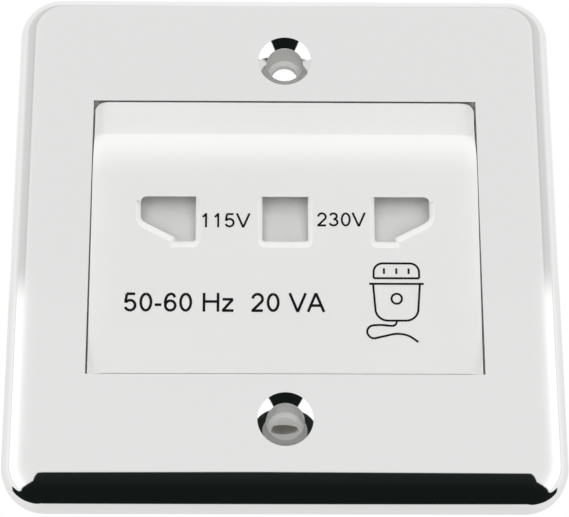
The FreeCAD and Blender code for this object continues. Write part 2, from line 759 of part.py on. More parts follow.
def make_contact(label):
    across = CONTACTS[label]
    body = new_body(label)
    root = hole_height / 2 + chamber_clear - tail_clear
    mouth_out = carrier_front - contact_mouth
    pinch_out = mouth_out - contact_pinch_in
    pinch = contact_pinch / 2
    mouth = root - contact_strip * 2
    inner_root = chamber_floor + contact_strip
    upper = [
        (chamber_floor, root),
        (pinch_out, pinch + contact_strip),
        (mouth_out, mouth + contact_strip),
        (mouth_out, mouth),
        (pinch_out, pinch),
        (inner_root, root - contact_strip),
    ]
    lower = [(out, -up) for out, up in reversed(upper)]
    profile = side_sketch(body, "leaves", across)
    polygon(profile, [(-out, hole_up + up) for out, up in upper + lower])
    pad(body, profile, contact_width, midplane=True)
    tail = front_sketch(body, "tail", chamber_floor)
    centred(tail, tail_width, contact_strip, across, hole_up)
    pad(body, tail, chamber_wall + tail_long, back=True)
    return body


# Screws: a shank and a round head with a straight slot, driven from behind

def make_screws(label, places, seat, shank_d, shank_long, head_d, head_high):
    body = new_body(label)
    shanks = front_sketch(body, "shanks", seat)
    for across, up in places:
        circle(shanks, across, up, shank_d)
    pad(body, shanks, shank_long)
    heads = front_sketch(body, "heads", seat)
    for across, up in places:
        circle(heads, across, up, head_d)
    pad(body, heads, head_high, back=True)
    slots = front_sketch(body, "slots", seat - head_high)
    for across, up in places:
        centred(slots, head_d, head_high * slot_wide, across, up)
    pocket(body, slots, head_high * slot_deep, back=True)
    return body


# Rear housing: a deep box for the transformer above a shallow shelf for the terminals

def make_rear_housing():
    body = new_body("rear_housing")
    top = house_height / 2
    outer = [
        (flange_back, -top),
        (-shelf_back, -top),
        (-shelf_back, shelf_top),
        (-house_back, shelf_top),
        (-house_back, top),
        (flange_back, top),
    ]
    profile = side_sketch(body, "outside", ZERO)
    polygon(profile, [(-out, up) for out, up in outer])
    pad(body, profile, house_width, midplane=True)

    dress(body, "Fillet", "rear_edges", house_round, lambda e: flat_at(e, "y", house_back))
    wall = house_wall
    inner = [
        (flange_back, wall - top),
        (wall - shelf_back, wall - top),
        (wall - shelf_back, shelf_top + wall),
        (house_inside, shelf_top + wall),
        (house_inside, top - wall),
        (flange_back, top - wall),
    ]
    hollow = side_sketch(body, "inside", ZERO)
    polygon(hollow, [(-out, up) for out, up in inner])
    pocket(body, hollow, house_width - wall * 2, midplane=True)
    lugs = front_sketch(body, "lugs", flange_back - post_long)
    for across, up in quarter(house_width + ear_reach - wall, ear_screw_up):
        centred(lugs, ear_reach + wall, ear_r * 2, across, up)
    pad(body, lugs, ear_sheet, back=True)
    ears = front_sketch(body, "ears", flange_back - post_long)
    for across, up in EARS:
        circle(ears, across, up, ear_r * 2)
    pad(body, ears, ear_sheet, back=True)
    ear_holes = front_sketch(body, "ear_holes", flange_back - post_long)
    for across, up in EARS:
        circle(ear_holes, across, up, ear_screw_d + thread_clear)
    pocket(body, ear_holes, ear_sheet)
    posts = front_sketch(body, "core_posts", core_rear)
    for across, up in CORE_POSTS:
        circle(posts, across, up, core_post_d)
    pad(body, posts, core_back_gap, back=True)
    vents = front_sketch(body, "vents", house_inside)
    for index in range(vent_count):
        across = vent_pitch * (index - (vent_count - 1) / 2)
        centred(vents, vent_width, vent_height, across, (core_low + core_high) / 2)
    pocket(body, vents, wall)
    cut_terminal_ports(body)
    return body


def cut_terminal_ports(body):
    ports = front_sketch(body, "screw_ports", wall_of_shelf)
    for across in TERMINALS.values():
        circle(ports, across, terminal_up, clamp_port)
    pocket(body, ports, house_wall)
    entries = floor_sketch(body, "wire_entries", house_low + house_wall)
    for across in TERMINALS.values():
        circle(entries, across, -bore_out, wire_entry)
    pocket(body, entries, house_wall)


CORE_POSTS = [
    (i * (core_width - core_leg) / 2, up)
    for i in (P, N)
    for up in (core_low + core_leg / 2, core_high - core_leg / 2)
]
wall_of_shelf = house_wall - shelf_back
terminal_low = house_low + house_wall
terminal_up = terminal_low + terminal_height / 2
terminal_front = wall_of_shelf + terminal_depth
bore_out = terminal_front - terminal_depth / 2
strap_up = terminal_low + terminal_height + strap_lift - strap_width / 2


# Core: E and I laminations round the coil, held in a steel frame

def make_core_e_stack():
    body = new_body("core_e_stack")
    side, leg = core_width / 2, core_leg
    outline = [
        (-side, window_foot),
        (leg - side, window_foot),
        (leg - side, window_roof),
        (-leg_half, window_roof),
        (-leg_half, window_foot),
        (leg_half, window_foot),
        (leg_half, window_roof),
        (side - leg, window_roof),
        (side - leg, window_foot),
        (side, window_foot),
        (side, core_high),
        (-side, core_high),
    ]
    sketch = front_sketch(body, "lamination", core_rear)
    polygon(sketch, outline)
    pad(body, sketch, core_stack)
    return body


def make_core_i_stack():
    body = new_body("core_i_stack")
    sketch = front_sketch(body, "lamination", core_rear)
    rectangle(sketch, -core_width / 2, core_low, core_width / 2, window_foot)
    pad(body, sketch, core_stack)
    return body


def make_core_frame():
    body = new_body("core_frame")
    side = core_width / 2
    outer = side + frame_strip
    outline = [
        (-outer, core_low),
        (-side, core_low),
        (-side, core_high),
        (side, core_high),
        (side, core_low),
        (outer, core_low),
        (outer, core_high + frame_strip),
        (-outer, core_high + frame_strip),
    ]
    sketch = front_sketch(body, "strip", core_rear)
    polygon(sketch, outline)
    pad(body, sketch, core_stack)
    return body


# Bobbin: a square tube on the centre leg with three flanges, and a winding in each half

def ring(sketch, half_across, half_deep, inner_across, inner_deep):
    middle = -core_middle
    for a, b in ((half_across, half_deep), (inner_across, inner_deep)):
        rectangle(sketch, -a, middle - b, a, middle + b)


def make_coil_bobbin():
    body = new_body("coil_bobbin")
    inner = leg_half + bobbin_clear
    inner_deep = core_stack / 2 + bobbin_clear
    tube = floor_sketch(body, "tube", window_foot)
    ring(tube, tube_half, tube_half_deep, inner, inner_deep)
    pad(body, tube, window_roof - window_foot)
    flanges = (window_foot, coil_split - bobbin_wall / 2, window_roof - bobbin_wall)
    for index, up in enumerate(flanges):
        flange = floor_sketch(body, f"flange_{index}", up)
        ring(flange, bobbin_side, bobbin_half, inner, inner_deep)
        pad(body, flange, bobbin_wall)
    return body


def make_winding(label, low, high):
    body = new_body(label)
    turns = floor_sketch(body, "turns", low)
    ring(turns, coil_side, coil_deep, tube_half, tube_half_deep)
    pad(body, turns, high - low)

    def outer_corner(edge):
        return runs_along(edge, "z") and near(abs(edge.BoundBox.XMin), coil_side)

    dress(body, "Fillet", "corners", coil_corner, outer_corner)
    return body


def make_thermal_cutout():
    body = new_body("thermal_cutout")
    side = core_width / 2 + frame_strip
    sketch = front_sketch(body, "case", core_middle - cutout_depth / 2)
    half = cutout_height / 2
    rectangle(sketch, side, coil_split - half, side + cutout_thick, coil_split + half)
    pad(body, sketch, cutout_depth)
    return body


# Terminals: brass blocks with a wire hole from below and a clamping screw from behind

def make_terminal(label):
    across = TERMINALS[label]
    body = new_body(label)
    block = front_sketch(body, "block", wall_of_shelf)
    centred(block, terminal_width, terminal_height, across, terminal_up)
    pad(body, block, terminal_depth)
    bore = floor_sketch(body, "bore", terminal_low)
    circle(bore, across, -bore_out, wire_bore)
    pocket(body, bore, terminal_height * bore_deep, back=True)
    clamp = front_sketch(body, "clamp", wall_of_shelf)
    circle(clamp, across, terminal_up, clamp_d + thread_clear)
    pocket(body, clamp, terminal_depth / 2, back=True)
    return body


# Earth strap: let into the flange at a stud, then folded back to the earth terminal

def strap_outline():
    stud_x, stud_z = stud_across / 2, -stud_up / 2
    half = strap_width / 2
    return [
        (stud_x - half, stud_z + half),
        (stud_x - half, strap_up + half),
        (strap_fold, strap_up + half),
        (strap_fold, strap_up - half),
        (stud_x + half, strap_up - half),
        (stud_x + half, stud_z + half),
    ]


def make_earth_strap():
    body = new_body("earth_strap")
    flat = front_sketch(body, "flat", flange_back)
    polygon(flat, strap_outline())
    circle(flat, stud_across / 2, -stud_up / 2, stud_d + stud_clear)
    pad(body, flat, strap_thick)
    low, high = strap_up - strap_width / 2, strap_up + strap_width / 2
    fold = front_sketch(body, "fold", flange_back)
    rectangle(fold, strap_fold, low, strap_fold + strap_thick, high)
    pad(body, fold, flange_back - bore_out, back=True)
    foot = front_sketch(body, "foot", bore_out)
    rectangle(foot, terminal_pitch + terminal_width / 2, low, strap_fold + strap_thick, high)
    pad(body, foot, strap_thick)
    return body


strap_fold = cavity_width / 2 + carrier_lap + strap_gap


# Leads: insulated wires from the terminals and contacts to the coil

def lead_section(centre, along):
    """Eight-sided outline of a lead, square to its first run."""
    turn = FreeCAD.Rotation(Vector(0, 0, 1), along)
    corners = []
    for index in range(lead_sides + 1):
        angle = math.tau * index / lead_sides
        corners.append(centre + turn.multVec(Vector(math.cos(angle), math.sin(angle), 0) * lead_d.value / 2))
    return corners


def make_lead(label, route):
    """Wire along straight runs joined by tangent arcs."""
    points = [Vector(x.value, -out.value, up.value) for x, out, up in route]
    bend = lead_bend.value
    edges, start = [], points[0]
    for before, corner, after in zip(points, points[1:], points[2:]):
        leave = corner + (before - corner).normalize() * bend
        meet = corner + (after - corner).normalize() * bend
        centre = leave + meet - corner
        middle = centre + (corner - centre).normalize() * bend
        edges.append(Part.LineSegment(start, leave).toShape())
        edges.append(Part.Arc(leave, middle, meet).toShape())
        start = meet
    edges.append(Part.LineSegment(start, points[-1]).toShape())
    path = Part.Wire(edges)
    section = Part.makePolygon(lead_section(points[0], points[1] - points[0]))
    piece = doc.addObject("Part::Feature", label)
    piece.Label = label
    piece.Shape = path.makePipeShell([section], True, False)
    return piece


def make_leads():
    gap_out = chamber_back - tail_long + lead_d / 4
    coil_front = core_middle + coil_deep
    turn_up = terminal_low + terminal_height + lead_above
    block_top = terminal_low + terminal_height
    low_half = (window_foot + coil_split) / 2
    high_half = (window_roof + coil_split) / 2
    tail_top = hole_up + contact_strip / 2
    case_x = core_width / 2 + frame_strip + cutout_thick / 2
    case_front = core_middle + cutout_depth / 2
    case_low = coil_split - cutout_height / 2
    case_foot = case_low + lead_d
    neutral_x = lead_inset - terminal_pitch
    cross_up = window_foot + bobbin_wall + lead_d
    leads = [make_lead("lead_common", [
        (ZERO, gap_out, tail_top), (ZERO, gap_out, high_half), (ZERO, coil_front, high_half)])]
    for label, side in (("lead_115v", N), ("lead_230v", P)):
        tail_x, coil_x = side * side_pitch / 2, side * lead_spread
        leads.append(make_lead(label, [
            (tail_x, gap_out, tail_top), (tail_x, gap_out, high_half),
            (coil_x, gap_out, high_half), (coil_x, coil_front, high_half)]))
    leads.append(make_lead("lead_neutral", [
        (neutral_x, bore_out, block_top), (neutral_x, bore_out, turn_up), (neutral_x, gap_out, turn_up),
        (neutral_x, gap_out, low_half), (-lead_spread, gap_out, low_half),
        (-lead_spread, coil_front, low_half)]))
    leads.append(make_lead("lead_live", [
        (ZERO, bore_out, block_top), (ZERO, bore_out, turn_up), (case_x, bore_out, turn_up),
        (case_x, core_middle, turn_up), (case_x, core_middle, case_low)]))
    leads.append(make_lead("lead_primary", [
        (case_x, case_front, case_foot), (case_x, gap_out, case_foot), (case_x, gap_out, cross_up),
        (lead_spread, gap_out, cross_up), (lead_spread, coil_front, cross_up)]))
    return leads


PIECES = [make_front_plate(), make_plate_frame(), make_plate_nuts(), make_socket_face()]
PIECES += [make_shutter(), make_shutter_spring(), make_contact_carrier()]
PIECES += [make_contact(label) for label in CONTACTS]
PIECES.append(make_screws("carrier_screws", CARRIER_SCREWS, carrier_back, carrier_screw_d,
                          carrier_sheet + carrier_screw_long, carrier_screw_d * screw_head, screw_head_high))
PIECES.append(make_rear_housing())
PIECES.append(make_screws("housing_screws", EARS, flange_back - post_long - ear_sheet, ear_screw_d,
                          ear_sheet + post_long - thread_clear, ear_screw_d * slim_head, screw_head_high))
PIECES += [make_core_e_stack(), make_core_i_stack(), make_core_frame(), make_coil_bobbin()]
PIECES.append(make_winding("primary_winding", window_foot + bobbin_wall, coil_split - bobbin_wall / 2))
PIECES.append(make_winding("secondary_winding", coil_split + bobbin_wall / 2, window_roof - bobbin_wall))
PIECES.append(make_thermal_cutout())
PIECES += [make_terminal(label) for label in TERMINALS]
PIECES.append(make_screws("terminal_screws", [(across, terminal_up) for across in TERMINALS.values()],
                          wall_of_shelf, clamp_d, clamp_reach, clamp_head_d, screw_head_high))
PIECES.append(make_earth_strap())
PIECES += make_leads()

# Every feature and every piece is sound before anything is written

doc.recompute()
for item in doc.Objects:
    if {"Invalid", "Error"} & set(item.State):
        raise RuntimeError(f"{item.Name} failed: {item.State}")
os.makedirs("parts", exist_ok=True)
for piece in PIECES:
    if piece.Shape.isNull() or not piece.Shape.isValid():
        raise RuntimeError(f"{piece.Label} is not a valid shape")
for piece in PIECES:
    piece.Shape.exportStep(f"parts/{piece.Label}.step")
    print(piece.Label, len(piece.Shape.Solids), round(piece.Shape.Volume, 1))
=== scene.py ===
"""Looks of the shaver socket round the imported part: finishes, printed marks, studio light and camera."""
import json
import math

import bmesh
import bpy
from mathutils import Matrix, Vector
from mathutils.bvhtree import BVHTree


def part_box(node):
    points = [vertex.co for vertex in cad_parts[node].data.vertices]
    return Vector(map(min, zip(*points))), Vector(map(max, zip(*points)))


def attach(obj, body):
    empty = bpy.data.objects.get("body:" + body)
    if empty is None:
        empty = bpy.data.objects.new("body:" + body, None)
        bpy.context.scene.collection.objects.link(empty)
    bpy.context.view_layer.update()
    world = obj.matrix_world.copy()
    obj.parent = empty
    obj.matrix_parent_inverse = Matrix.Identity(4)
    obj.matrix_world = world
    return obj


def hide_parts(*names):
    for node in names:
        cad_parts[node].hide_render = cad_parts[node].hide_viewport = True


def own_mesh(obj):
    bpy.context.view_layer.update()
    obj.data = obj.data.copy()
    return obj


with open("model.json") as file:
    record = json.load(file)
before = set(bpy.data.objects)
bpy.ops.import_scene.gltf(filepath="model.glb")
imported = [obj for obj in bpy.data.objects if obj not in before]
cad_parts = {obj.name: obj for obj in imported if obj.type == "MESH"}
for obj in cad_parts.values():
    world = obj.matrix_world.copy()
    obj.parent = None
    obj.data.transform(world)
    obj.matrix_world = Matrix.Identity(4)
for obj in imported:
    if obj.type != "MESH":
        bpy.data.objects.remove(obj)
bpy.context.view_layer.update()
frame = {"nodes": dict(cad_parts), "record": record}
NODES = frame["nodes"]
MM = 0.001
UNIT = "unit"

scene = bpy.context.scene
scene.view_settings.view_transform = "Standard"


# Node helpers

def new_material(name):
    material = bpy.data.materials.new(name)
    material.use_nodes = True
    return material, material.node_tree, material.node_tree.nodes["Principled BSDF"]


def add(tree, kind, **values):
    """A node with its attributes and its unlinked inputs set by name."""
    node = tree.nodes.new(kind)
    for name, value in values.items():
        if name in node.bl_rna.properties:
            setattr(node, name, value)
        else:
            node.inputs[name.replace("_", " ")].default_value = value
    return node


def math_node(tree, operation, first, second=None):
    node = add(tree, "ShaderNodeMath", operation=operation)
    for socket, value in zip(node.inputs, (first, second)):
        if isinstance(value, bpy.types.NodeSocket):
            tree.links.new(value, socket)
        elif value is not None:
            socket.default_value = value
    return node.outputs[0]


def smooth_step(tree, value, low, high):
    """0 below low, 1 above high, eased between."""
    node = add(tree, "ShaderNodeMapRange", interpolation_type="SMOOTHSTEP")
    tree.links.new(value, node.inputs["Value"])
    node.inputs["From Min"].default_value = low
    node.inputs["From Max"].default_value = high
    return node.outputs["Result"]


def spread(tree, value, low, high):
    """Maps 0..1 to low..high."""
    node = add(tree, "ShaderNodeMapRange")
    tree.links.new(value, node.inputs["Value"])
    node.inputs["To Min"].default_value = low
    node.inputs["To Max"].default_value = high
    return node.outputs["Result"]


def noise(tree, scale, detail=3.0, stretch=None):
    """Object-space noise; scale is in cycles per metre."""
    place = add(tree, "ShaderNodeTexCoord").outputs["Object"]
    if stretch:
        mapping = add(tree, "ShaderNodeMapping")
        mapping.inputs["Scale"].default_value = stretch
        tree.links.new(place, mapping.inputs["Vector"])
        place = mapping.outputs["Vector"]
    node = add(tree, "ShaderNodeTexNoise", Scale=scale, Detail=detail)
    tree.links.new(place, node.inputs["Vector"])
    return node.outputs["Fac"]


def bump(tree, shader, height, strength, distance):
    node = add(tree, "ShaderNodeBump", Strength=strength, Distance=distance)
    tree.links.new(height, node.inputs["Height"])
    tree.links.new(node.outputs["Normal"], shader.inputs["Normal"])


def tint(tree, shader, fac, dark, light):
    """Base colour that drifts between two close tones."""
    mix = add(tree, "ShaderNodeMix", data_type="RGBA")
    mix.inputs["A"].default_value = (*dark, 1)
    mix.inputs["B"].default_value = (*light, 1)
    tree.links.new(fac, mix.inputs["Factor"])
    tree.links.new(mix.outputs["Result"], shader.inputs["Base Color"])


# Finishes; noise scales are in cycles per metre

CLOUD_SCALE = 60.0
GLOSS_SCALE = 900.0
GLOSS_DRIFT = 0.12
FINE_GRAIN = 6000.0
FINE_GRAIN_DEPTH = 0.004
COARSE_GRAIN = 2500.0
GRAIN_STRENGTH = 0.25
COAT_ROUGH = 0.12
BRUSH_SCALE = 2500.0
BRUSH_DETAIL = 2.0
PLATED_SCALE = 700.0
METAL_GLOSS_DRIFT = 0.25
METAL_STRENGTH = 0.2
BAND_WAVER = 0.4
BAND_STRENGTH = 0.6
BAND_DEPTH = 0.05
BAND_GLOSS_SCALE = 800.0
BAND_GLOSS_DRIFT = 0.2
WAVE_UNIT = 20
CHROME_COLOUR = (0.90, 0.90, 0.895, 1)
CHROME_HAZE = (0.03, 0.07)
CHROME_HAZE_SCALE = 300.0


def uneven_gloss(tree, shader, fac, rough, drift):
    gloss = spread(tree, fac, rough * (1 - drift), rough * (1 + drift))
    tree.links.new(gloss, shader.inputs["Roughness"])


def plastic(name, colour, rough, grain=FINE_GRAIN, depth=FINE_GRAIN_DEPTH, coat=0.0, drift=0.03, ior=1.5):
    """Moulded plastic: a faint colour drift, uneven gloss and a fine moulded grain."""
    material, tree, shader = new_material(name)
    tint(tree, shader, noise(tree, CLOUD_SCALE), [c * (1 - drift) for c in colour], colour)
    uneven_gloss(tree, shader, noise(tree, GLOSS_SCALE), rough, GLOSS_DRIFT)
    bump(tree, shader, noise(tree, grain), GRAIN_STRENGTH, depth * MM)
    shader.inputs["IOR"].default_value = ior
    shader.inputs["Coat Weight"].default_value = coat
    shader.inputs["Coat Roughness"].default_value = COAT_ROUGH
    return material


def metal(name, colour, rough, brushed=None, drift=0.06, depth=0.003):
    """Bare or plated metal: brushed or drawn lines where it has them, and gloss that varies."""
    material, tree, shader = new_material(name)
    lines = noise(tree, BRUSH_SCALE, BRUSH_DETAIL, brushed) if brushed else noise(tree, PLATED_SCALE)
    tint(tree, shader, lines, [c * (1 - drift) for c in colour], colour)
    uneven_gloss(tree, shader, lines, rough, METAL_GLOSS_DRIFT)
    bump(tree, shader, lines, METAL_STRENGTH, depth * MM)
    shader.inputs["Metallic"].default_value = 1.0
    return material


def banded(name, colour, dark, pitch, axis, metallic, rough):
    """Stacked sheets or wound wire: ridges at an even pitch along one axis."""
    material, tree, shader = new_material(name)
    place = add(tree, "ShaderNodeTexCoord").outputs["Object"]
    wave = add(tree, "ShaderNodeTexWave", bands_direction=axis, Scale=math.tau / (WAVE_UNIT * pitch * MM))
    wave.inputs["Distortion"].default_value = BAND_WAVER
    tree.links.new(place, wave.inputs["Vector"])
    tint(tree, shader, wave.outputs["Fac"], dark, colour)
    bump(tree, shader, wave.outputs["Fac"], BAND_STRENGTH, BAND_DEPTH * MM)
    uneven_gloss(tree, shader, noise(tree, BAND_GLOSS_SCALE), rough, BAND_GLOSS_DRIFT)
    shader.inputs["Metallic"].default_value = metallic
    return material


def chrome_finish():
    """Polished plating: a clear mirror with a trace of polishing haze."""
    material, tree, shader = new_material("polished_chrome")
    shader.inputs["Base Color"].default_value = CHROME_COLOUR
    shader.inputs["Metallic"].default_value = 1.0
    haze = spread(tree, noise(tree, CHROME_HAZE_SCALE), *CHROME_HAZE)
    tree.links.new(haze, shader.inputs["Roughness"])
    return material


FINISH = {
    "chrome": chrome_finish(),
    "white_face": plastic("white_urea", (0.93, 0.93, 0.915), 0.38, coat=0.10),
    "white_liner": plastic("white_liner", (0.78, 0.78, 0.765), 0.5, COARSE_GRAIN, 0.012),
    "white_housing": plastic("white_housing", (0.76, 0.76, 0.745), 0.52, COARSE_GRAIN, 0.015),
    "carrier": plastic("grey_carrier", (0.60, 0.60, 0.585), 0.5, COARSE_GRAIN, 0.015),
    "bobbin": plastic("black_bobbin", (0.035, 0.035, 0.04), 0.45, COARSE_GRAIN, 0.015, drift=0.2),
    "cutout": plastic("black_case", (0.05, 0.05, 0.055), 0.3, drift=0.2),
    "lead_brown": plastic("brown_lead", (0.16, 0.06, 0.03), 0.4, drift=0.15),
    "lead_blue": plastic("blue_lead", (0.03, 0.11, 0.42), 0.4, drift=0.15),
    "lead_white": plastic("white_lead", (0.74, 0.74, 0.72), 0.4),
    "brass": metal("brass", (0.80, 0.60, 0.28), 0.28, (0.15, 1.0, 1.0)),
    "zinc": metal("zinc_plate", (0.66, 0.68, 0.70), 0.33),
    "spring_steel": metal("spring_wire", (0.60, 0.60, 0.60), 0.22),
    "core": banded("laminations", (0.26, 0.26, 0.27), (0.09, 0.085, 0.085), 0.5, "Y", 0.8, 0.45),
    "copper": banded("enamelled_wire", (0.62, 0.24, 0.10), (0.20, 0.06, 0.03), 0.35, "Z", 0.9, 0.3),
    "print": plastic("print_ink", (0.010, 0.010, 0.011), 0.7, drift=0.2, ior=1.2),
}

SLOTS = {row["node"]: row["material_slot"] for row in frame["record"]["subparts"]}
SMOOTH_ANGLE = math.radians(28)


def finish_nodes():
    """Every carried-over solid gets its finish; curved faces are shaded smooth, edges stay crisp."""
    for name, node in NODES.items():
        node.data.materials.clear()
        node.data.materials.append(FINISH[SLOTS[name]])
        node.data.shade_smooth()
        node.data.set_sharp_from_angle(angle=SMOOTH_ANGLE)


# Meshes

def loose_object(bm, name):
    """A mesh object in the shared frame."""
    bmesh.ops.recalc_face_normals(bm, faces=bm.faces)
    mesh = bpy.data.meshes.new(name)
    bm.to_mesh(mesh)
    bm.free()
    made = bpy.data.objects.new(name, mesh)
    scene.collection.objects.link(made)
    return made


def piece_from(bm, name, slot, crease=SMOOTH_ANGLE):
    """A piece of the part that rides on the unit and takes a slot's finish."""
    piece = loose_object(bm, name)
    piece.data.materials.append(FINISH[slot])
    piece.data.shade_smooth()
    piece.data.set_sharp_from_angle(angle=crease)
    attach(piece, UNIT)
    return piece


# Front plate: the pressed sheet again, with its rounded edge fine enough for a mirror

PLATE_LOW, PLATE_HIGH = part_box("front_plate")
PLATE_HALF = PLATE_HIGH.x / MM
PLATE_DEPTH = -PLATE_LOW.y / MM
PLATE_SHEET = 1.4
EDGE_R = 5.2
CORNER_R = 6.8
WINDOW = (30.4, 23.0)
SINK_Z = 30.15
SINK_TOP_R = 4.25
SINK_LOW_R = 2.95
SINK_LAND = 0.1
STUDS = [(x, z) for x in (-33.2, 33.2) for z in (-8.0, 8.0)]
STUD_R = 1.5
STUD_END = 0.3
ROUND_STEPS = 28
CORNER_STEPS = 20
CIRCLE_STEPS = 72
SUPPORT = 0.12


def ring(bm, points, out):
    """Vertices at plan points (x, z) and a height out of the wall, in millimetres."""
    return [bm.verts.new((x * MM, -out * MM, z * MM)) for x, z in points]


def plan_square(radius):
    """A rounded square round the corner centres, one radius out from them."""
    centre = PLATE_HALF - CORNER_R
    points = []
    for quarter, (sx, sz) in enumerate(((1, 1), (-1, 1), (-1, -1), (1, -1))):
        for step in range(CORNER_STEPS + 1):
            angle = math.radians(90 * (quarter + step / CORNER_STEPS))
            points.append((sx * centre + radius * math.cos(angle), sz * centre + radius * math.sin(angle)))
    return points


def plan_circle(centre, radius, steps=CIRCLE_STEPS):
    turns = [math.tau * i / steps for i in range(steps)]
    return [(centre[0] + radius * math.cos(t), centre[1] + radius * math.sin(t)) for t in turns]


def plan_window(margin=0.0):
    w, h = WINDOW[0] + margin, WINDOW[1] + margin
    return [(-w, -h), (w, -h), (w, h), (-w, h)]


def bridge(bm, lower, upper):
    count = len(lower)
    for i in range(count):
        bm.faces.new((lower[i], lower[(i + 1) % count], upper[(i + 1) % count], upper[i]))


def fill(bm, *rings):
    """One flat face with holes, between closed rings."""
    edges = []
    for loop in rings:
        for i, vert in enumerate(loop):
            pair = (vert, loop[(i + 1) % len(loop)])
            edges.append(bm.edges.get(pair) or bm.edges.new(pair))
    bmesh.ops.triangle_fill(bm, use_beauty=True, use_dissolve=False, edges=edges)


def skin(bm, edge_r, foot_r, depth):
    """One side of the sheet, from its foot at the wall over the rounded edge to the flat."""
    core = CORNER_R - EDGE_R
    rings = [ring(bm, plan_square(foot_r), 0.0)]
    for step in range(ROUND_STEPS + 1):
        angle = math.radians(90 * (1 - step / ROUND_STEPS))
        out = depth - edge_r + edge_r * math.cos(angle)
        rings.append(ring(bm, plan_square(core + edge_r * math.sin(angle)), out))
    rings.append(ring(bm, plan_square(core - SUPPORT), depth))
    for lower, upper in zip(rings, rings[1:]):
        bridge(bm, lower, upper)
    return rings[0], rings[-1]


def make_plate():
    bm = bmesh.new()
    inner_face = PLATE_DEPTH - PLATE_SHEET
    outer_foot, outer_top = skin(bm, EDGE_R, CORNER_R, PLATE_DEPTH)
    inner_foot, inner_top = skin(bm, EDGE_R - PLATE_SHEET, CORNER_R - PLATE_SHEET, inner_face)
    bridge(bm, inner_foot, outer_foot)
    front_window = ring(bm, plan_window(), PLATE_DEPTH)
    back_window = ring(bm, plan_window(), inner_face)
    bridge(bm, front_window, back_window)
    front_holes, back_holes = [], []
    for z in (SINK_Z, -SINK_Z):
        top = ring(bm, plan_circle((0, z), SINK_TOP_R), PLATE_DEPTH)
        low = ring(bm, plan_circle((0, z), SINK_LOW_R), inner_face + SINK_LAND)
        back = ring(bm, plan_circle((0, z), SINK_LOW_R), inner_face)
        bridge(bm, top, low)
        bridge(bm, low, back)
        front_holes.append(top)
        back_holes.append(back)
    feet = []
    for place in STUDS:
        foot = ring(bm, plan_circle(place, STUD_R, CIRCLE_STEPS // 3), inner_face)
        end = ring(bm, plan_circle(place, STUD_R, CIRCLE_STEPS // 3), STUD_END)
        bridge(bm, foot, end)
        bm.faces.new(end)
        feet.append(foot)
    fill(bm, outer_top, front_window, *front_holes)
    fill(bm, inner_top, back_window, *back_holes, *feet)
    plate = piece_from(bm, "chrome_plate", "chrome")
    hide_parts("front_plate")


# Return spring: round wire coiled in the solid spring's place at one fixed length; in the socket it shortens
# as the shutter slides down

COIL_WIRE_R = 0.2
COIL_TURNS = 6
COIL_STEPS = 22
COIL_SIDES = 10


def make_spring():
    low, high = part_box("shutter_spring")
    middle = (low + high) / 2
    wire = COIL_WIRE_R * MM
    radius = (high.x - low.x) / 2 - wire
    foot, top = low.z + wire, high.z - wire
    sides = [math.tau * i / COIL_SIDES for i in range(COIL_SIDES)]
    count = COIL_TURNS * COIL_STEPS
    bm = bmesh.new()
    loops = []
    for i in range(count + 1):
        turn = math.tau * i / COIL_STEPS
        outward = Vector((math.cos(turn), math.sin(turn), 0))
        centre = Vector((middle.x, middle.y, foot + (top - foot) * i / count)) + outward * radius
        loops.append([bm.verts.new(centre + (outward * math.cos(a) + Vector((0, 0, math.sin(a)))) * wire)
                      for a in sides])
    for lower, upper in zip(loops, loops[1:]):
        bridge(bm, lower, upper)
    bm.faces.new(loops[0])
    bm.faces.new(loops[-1])
    spring = piece_from(bm, "return_spring", "spring_steel")
    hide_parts("shutter_spring")
    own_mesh(spring)


# Socket face: the moulding again, with a wider bevel beside and under each aperture and a lip over it

# Apertures, close to those of the solid: heights, widths and corner radii, in millimetres
HOLE_LOW = -1.6
HOLE_HIGH = 5.5
CENTRE_HALF = 3.55
SIDE_AT = (13.9, 22.5)
SIDE_WALL = 3.6
SIDE_FOOT = 3.2
FOOT_STEP = 0.7
HOLE_R = 0.55
SHOULDER_R = 1.6
STEP_R = 0.15
# Bevel: its width beside and under an aperture, its depth, and how far its cutter runs on
BEVEL_SIDE = 0.66
BEVEL_LOW = 1.2
BEVEL_DEEP = 0.62
BEVEL_OVER = 0.4
BEVEL_CREASE = math.radians(18)
# Lip: heights of its edge and top, its thickness, the slope of its underside, and its turned-down end
LIP_EDGE = 5.55
LIP_TOP = 6.3
LIP_BACK = 0.85
LIP_UNDER = 0.5
LIP_PROUD = 0.01
LIP_R = 1.0
LIP_END = 0.45
LIP_STEPS = 10
# Room cleared behind the lip
RELIEF_SLOPE = 0.54
RELIEF_LOW = 4.85
RELIEF_BACK = 5.45
RELIEF_FRONT = 10.0
# Meshing: overlap of cuts, points in a corner, welding distance, and where the panel is measured
CUT_LAP = 0.01
CORNER_CUTS = 6
WELD = 0.0005
PANEL_PROBE = (8.0, -3.0, 5.0)
PROBE_OUT = 0.05


class Face:
    """The socket face as a surface to measure and to print on."""

    def __init__(self):
        node = NODES["socket_face"]
        self.tree = BVHTree.FromPolygons([v.co for v in node.data.vertices],
                                         [p.vertices for p in node.data.polygons])

    def drop(self, x, z):
        """Where a straight line into the wall meets the face."""
        hit = self.tree.ray_cast(Vector((x, -PROBE_OUT, z)), Vector((0, 1, 0)))[0]
        return hit.y


FACE = Face()


def side_hole(side):
    """Corners of a side aperture in x and z, clockwise, each with its radius."""
    inner, outer = SIDE_AT
    foot = inner + SIDE_FOOT
    corners = [
        (inner, HOLE_HIGH, HOLE_R),
        (outer, HOLE_HIGH, HOLE_R),
        (outer, HOLE_HIGH - SIDE_WALL, SHOULDER_R),
        (foot, HOLE_LOW + FOOT_STEP, STEP_R),
        (foot, HOLE_LOW, STEP_R),
        (inner, HOLE_LOW, HOLE_R),
    ]
    mirrored = [(side * x, z, radius) for x, z, radius in corners]
    return mirrored if side > 0 else mirrored[::-1]


